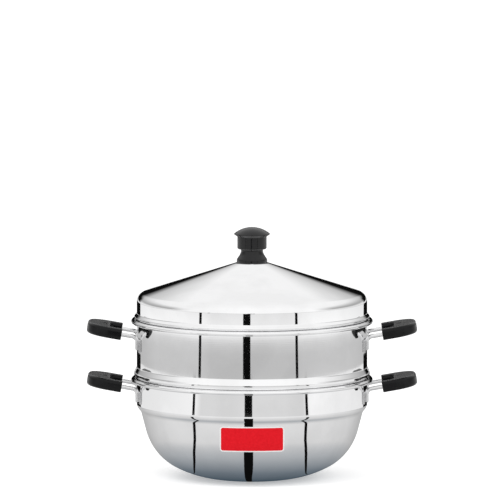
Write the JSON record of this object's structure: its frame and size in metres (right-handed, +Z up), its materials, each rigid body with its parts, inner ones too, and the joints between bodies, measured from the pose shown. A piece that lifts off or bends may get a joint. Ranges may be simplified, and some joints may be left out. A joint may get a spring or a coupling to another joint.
{
  "type": "idli steamer",
  "caption": "Stovetop idli steamer: round-bottomed pan, steamer tier that nests on it, rack of dished idli plates on a spindle, and a conical lid with a knob.",
  "frame": {"origin": "centre of the pan's flat base", "axes": "+Z up along the axis of the shells, X through the side handles, the plates' first cups towards +Y"},
  "size_m": [0.3688, 0.27, 0.2809],
  "materials": {
    "polished_steel": "mirror polished stainless steel",
    "bakelite": "glossy black moulded bakelite"
  },
  "bodies": {
    "kadai": {"kadai_bowl": "polished_steel", "kadai_bracket_left": "polished_steel", "kadai_bracket_right": "polished_steel", "kadai_grip_left": "bakelite", "kadai_grip_right": "bakelite"},
    "steamer": {"steamer_wall": "polished_steel", "steamer_floor": "polished_steel", "steamer_bracket_left": "polished_steel", "steamer_bracket_right": "polished_steel", "steamer_grip_left": "bakelite", "steamer_grip_right": "bakelite"},
    "rack": {"rack_foot": "polished_steel", "foot_nut": "polished_steel", "spindle_rod": "polished_steel", "plate_spacer": "polished_steel"},
    "lower_plate": {"lower_idli_plate": "polished_steel"},
    "upper_plate": {"upper_idli_plate": "polished_steel"},
    "nut": {"lifting_nut": "polished_steel"},
    "lid": {"lid_shell": "polished_steel", "lid_knob": "bakelite", "knob_washer": "polished_steel", "knob_screw": "polished_steel"}
  },
  "joints": [
    {"name": "steamer_lift", "type": "slide", "parent": "kadai", "child": "steamer", "axis": [0, 0, 1], "range_m": [0, 0.046]},
    {"name": "rack_lift", "type": "slide", "parent": "steamer", "child": "rack", "axis": [0, 0, 1], "range_m": [0, 0.17]},
    {"name": "lid_lift", "type": "slide", "parent": "rack", "child": "lid", "axis": [0, 0, 1], "range_m": [0, 0.0335]},
    {"name": "lower_plate_turn", "type": "hinge", "parent": "rack", "child": "lower_plate", "pos_m": [0, 0, 0.1331], "axis": [0, 0, 1], "continuous": true},
    {"name": "upper_plate_turn", "type": "hinge", "parent": "rack", "child": "upper_plate", "pos_m": [0, 0, 0.1626], "axis": [0, 0, 1], "continuous": true},
    {"name": "lifting_nut_turn", "type": "hinge", "parent": "rack", "child": "nut", "pos_m": [0, 0, 0.164], "axis": [0, 0, 1], "continuous": true}
  ]
}
